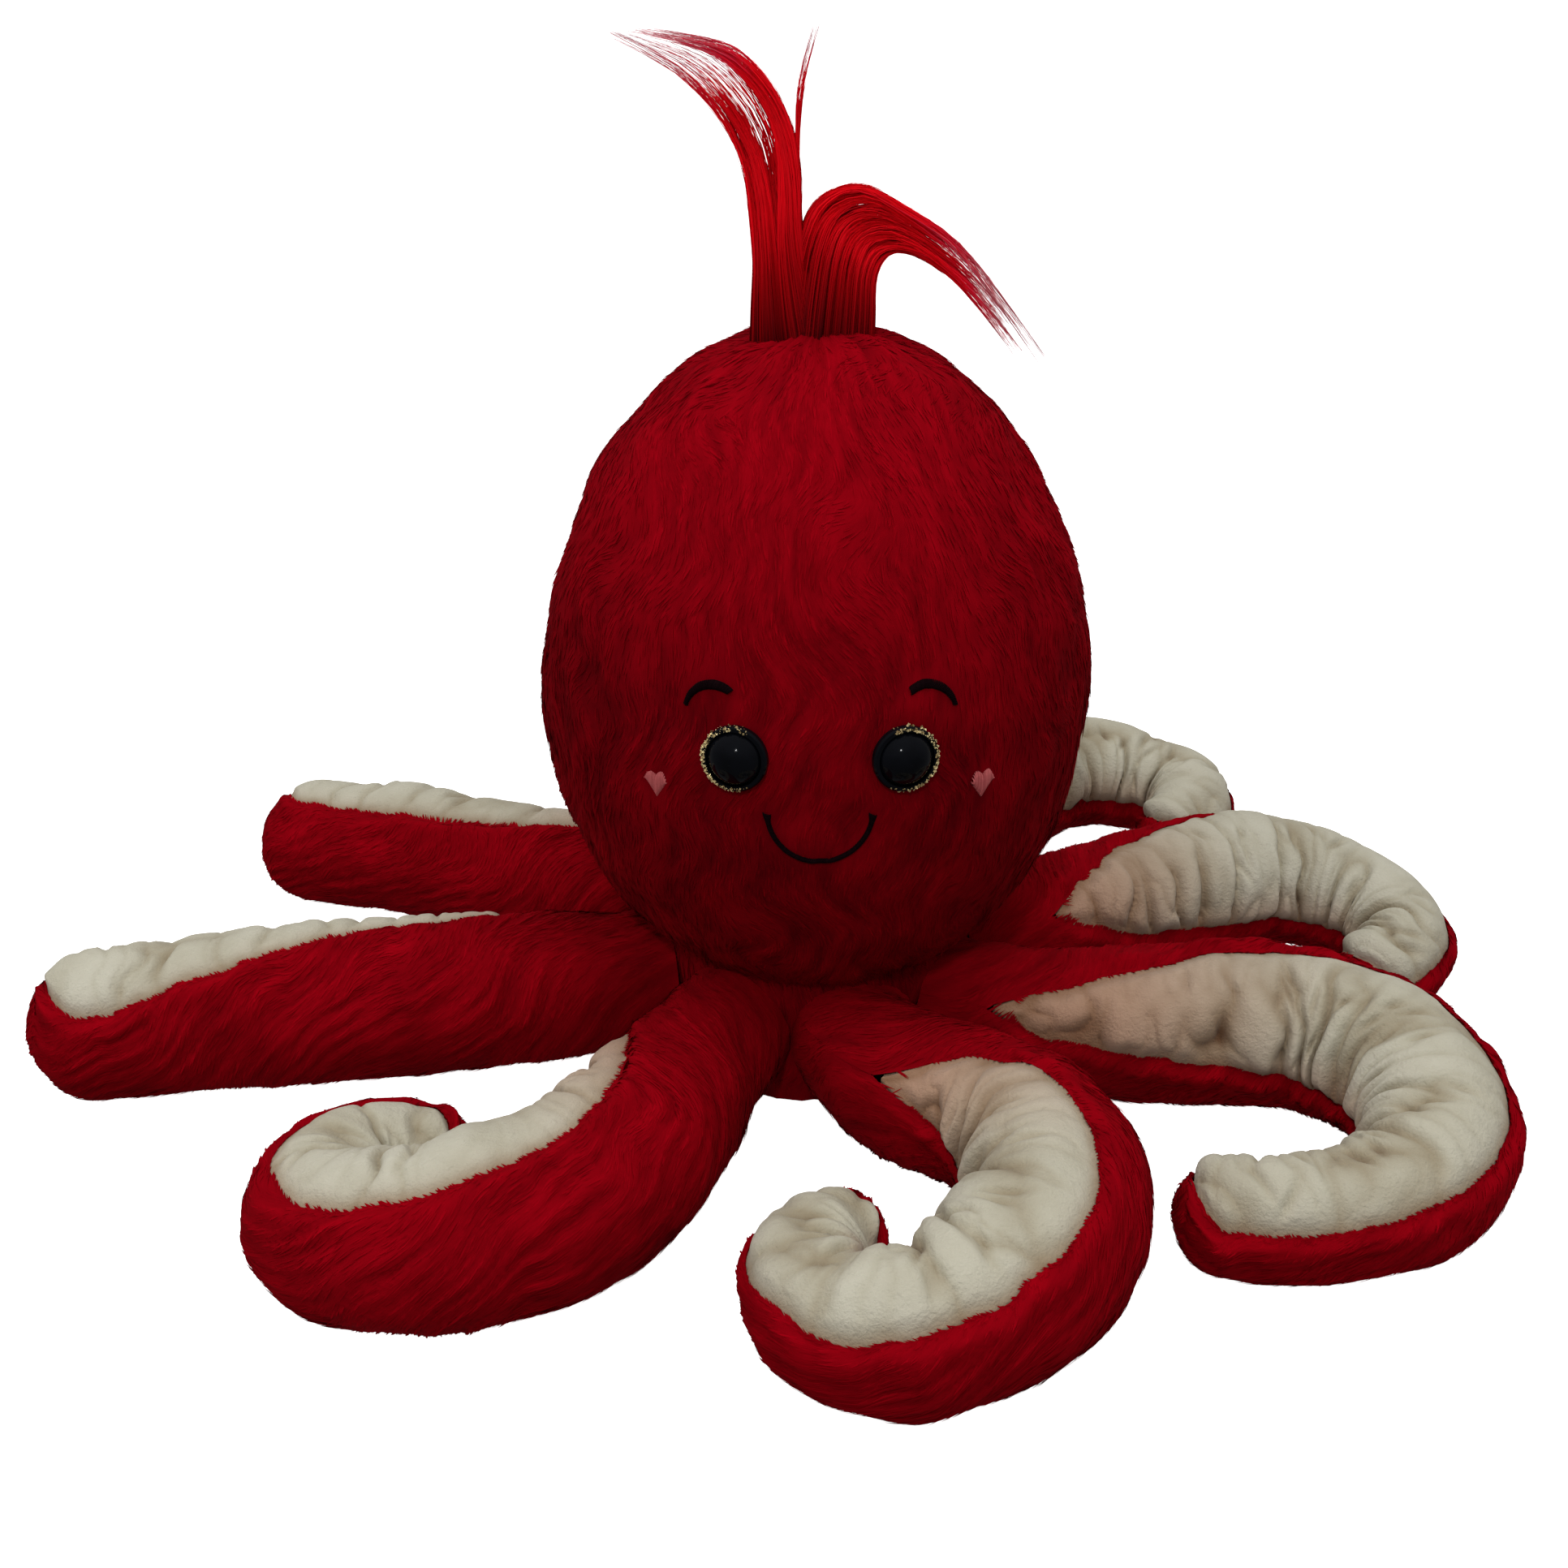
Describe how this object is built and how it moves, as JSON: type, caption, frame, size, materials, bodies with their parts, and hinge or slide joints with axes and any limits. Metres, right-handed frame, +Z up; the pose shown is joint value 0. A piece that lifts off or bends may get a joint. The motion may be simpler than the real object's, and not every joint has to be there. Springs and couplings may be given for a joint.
{
  "type": "stuffed octopus toy",
  "caption": "Soft stuffed octopus toy: egg-shaped pile body with a face and a hair tuft, and curled arms with pale gathered undersides that lift and bend.",
  "frame": {"origin": "centre of the flat base panel under the body, on the surface the toy sits on", "axes": "+Z up through the crown, the face looks along -Y, +X to the viewer's right when facing the toy"},
  "size_m": [0.4269, 0.3546, 0.2818],
  "materials": {
    "red_fur": "short swirled pile",
    "cream_plush": "smooth gathered plush",
    "filling": "loose fibre",
    "black_gloss": "polished",
    "gold_glitter": "glitter",
    "washer_plastic": "moulded",
    "black_thread": "satin stitch",
    "pink_thread": "satin stitch",
    "red_hair": "long straight pile"
  },
  "bodies": {
    "body": {"base_panel": "cream_plush", "body_filling": "filling", "body_fur_left": "red_fur", "body_fur_right": "red_fur", "brow_left": "black_thread", "brow_right": "black_thread", "eye_left": "black_gloss", "eye_right": "black_gloss", "eye_ring_left": "gold_glitter", "eye_ring_right": "gold_glitter", "eye_washer_left": "washer_plastic", "eye_washer_right": "washer_plastic", "heart_left": "pink_thread", "heart_right": "pink_thread", "mouth": "black_thread", "tuft_band": "red_hair"},
    "arm_1": {"arm_1_filling": "filling", "arm_1_fur": "red_fur", "arm_1_panel": "cream_plush"},
    "arm_2": {"arm_2_filling": "filling", "arm_2_fur": "red_fur", "arm_2_panel": "cream_plush"},
    "arm_3": {"arm_3_root_filling": "filling", "arm_3_root_fur": "red_fur", "arm_3_root_panel": "cream_plush"},
    "arm_3_tip": {"arm_3_tip_filling": "filling", "arm_3_tip_fur": "red_fur", "arm_3_tip_panel": "cream_plush"},
    "arm_4": {"arm_4_root_filling": "filling", "arm_4_root_fur": "red_fur", "arm_4_root_panel": "cream_plush"},
    "arm_4_tip": {"arm_4_tip_filling": "filling", "arm_4_tip_fur": "red_fur", "arm_4_tip_panel": "cream_plush"},
    "arm_5": {"arm_5_root_filling": "filling", "arm_5_root_fur": "red_fur", "arm_5_root_panel": "cream_plush"},
    "arm_5_tip": {"arm_5_tip_filling": "filling", "arm_5_tip_fur": "red_fur", "arm_5_tip_panel": "cream_plush"},
    "arm_6": {"arm_6_root_filling": "filling", "arm_6_root_fur": "red_fur", "arm_6_root_panel": "cream_plush"},
    "arm_6_tip": {"arm_6_tip_filling": "filling", "arm_6_tip_fur": "red_fur", "arm_6_tip_panel": "cream_plush"},
    "arm_7": {"arm_7_root_filling": "filling", "arm_7_root_fur": "red_fur", "arm_7_root_panel": "cream_plush"},
    "arm_7_tip": {"arm_7_tip_filling": "filling", "arm_7_tip_fur": "red_fur", "arm_7_tip_panel": "cream_plush"},
    "arm_8": {"arm_8_root_filling": "filling", "arm_8_root_fur": "red_fur", "arm_8_root_panel": "cream_plush"},
    "arm_8_tip": {"arm_8_tip_filling": "filling", "arm_8_tip_fur": "red_fur", "arm_8_tip_panel": "cream_plush"},
    "tuft_lock_left": {"tuft_lock_left": "red_hair"},
    "tuft_lock_right": {"tuft_lock_right": "red_hair"}
  },
  "joints": [
    {"name": "arm_1_lift", "type": "hinge", "parent": "body", "child": "arm_1", "pos_m": [-0.03977, 0.0239, 0.0412], "axis": [0.515, 0.8572, 0], "range_deg": [0, 30]},
    {"name": "arm_2_lift", "type": "hinge", "parent": "body", "child": "arm_2", "pos_m": [-0.04502, -0.01123, 0.042], "axis": [-0.2419, 0.9703, 0], "range_deg": [0, 30]},
    {"name": "arm_3_lift", "type": "hinge", "parent": "body", "child": "arm_3", "pos_m": [-0.0239, -0.03977, 0.0424], "axis": [-0.8572, 0.515, 0], "range_deg": [0, 30]},
    {"name": "arm_3_tip_bend", "type": "hinge", "parent": "arm_3", "child": "arm_3_tip", "pos_m": [-0.04942, -0.09831, 0.046], "axis": [-0.8746, 0.4848, 0], "range_deg": [0, 30]},
    {"name": "arm_4_lift", "type": "hinge", "parent": "body", "child": "arm_4", "pos_m": [0.01123, -0.04502, 0.042], "axis": [-0.9703, -0.2419, 0], "range_deg": [0, 30]},
    {"name": "arm_4_tip_bend", "type": "hinge", "parent": "arm_4", "child": "arm_4_tip", "pos_m": [0.04282, -0.07599, 0.04343], "axis": [-0.5854, -0.8107, 0], "range_deg": [0, 30]},
    {"name": "arm_5_lift", "type": "hinge", "parent": "body", "child": "arm_5", "pos_m": [0.03977, -0.0239, 0.042], "axis": [-0.515, -0.8572, 0], "range_deg": [0, 30]},
    {"name": "arm_5_tip_bend", "type": "hinge", "parent": "arm_5", "child": "arm_5_tip", "pos_m": [0.12784, -0.03737, 0.045], "axis": [-0.1182, -0.993, 0], "range_deg": [0, 30]},
    {"name": "arm_6_lift", "type": "hinge", "parent": "body", "child": "arm_6", "pos_m": [0.04502, 0.01123, 0.0416], "axis": [0.2419, -0.9703, 0], "range_deg": [0, 30]},
    {"name": "arm_6_tip_bend", "type": "hinge", "parent": "arm_6", "child": "arm_6_tip", "pos_m": [0.12437, 0.04403, 0.044], "axis": [0.3543, -0.9351, 0], "range_deg": [0, 30]},
    {"name": "arm_7_lift", "type": "hinge", "parent": "body", "child": "arm_7", "pos_m": [0.0239, 0.03977, 0.0416], "axis": [0.8572, -0.515, 0], "range_deg": [0, 30]},
    {"name": "arm_7_tip_bend", "type": "hinge", "parent": "arm_7", "child": "arm_7_tip", "pos_m": [0.07929, 0.12164, 0.044], "axis": [0.7582, -0.652, 0], "range_deg": [0, 30]},
    {"name": "arm_8_lift", "type": "hinge", "parent": "body", "child": "arm_8", "pos_m": [-0.01123, 0.04502, 0.0416], "axis": [0.9703, 0.2419, 0], "range_deg": [0, 30]},
    {"name": "arm_8_tip_bend", "type": "hinge", "parent": "arm_8", "child": "arm_8_tip", "pos_m": [-0.02373, 0.12778, 0.044], "axis": [0.9997, -0.0251, 0], "range_deg": [0, 30]},
    {"name": "tuft_left_sway", "type": "hinge", "parent": "body", "child": "tuft_lock_left", "pos_m": [-0.0182, 0, 0.2162], "axis": [0, -1, 0], "range_deg": [0, 20], "stiffness_Nm_per_rad": 0.02, "springref_deg": -6.88},
    {"name": "tuft_right_sway", "type": "hinge", "parent": "body", "child": "tuft_lock_right", "pos_m": [0.0137, 0, 0.2162], "axis": [0, 1, 0], "range_deg": [0, 15], "stiffness_Nm_per_rad": 0.02, "springref_deg": -6.88}
  ]
}
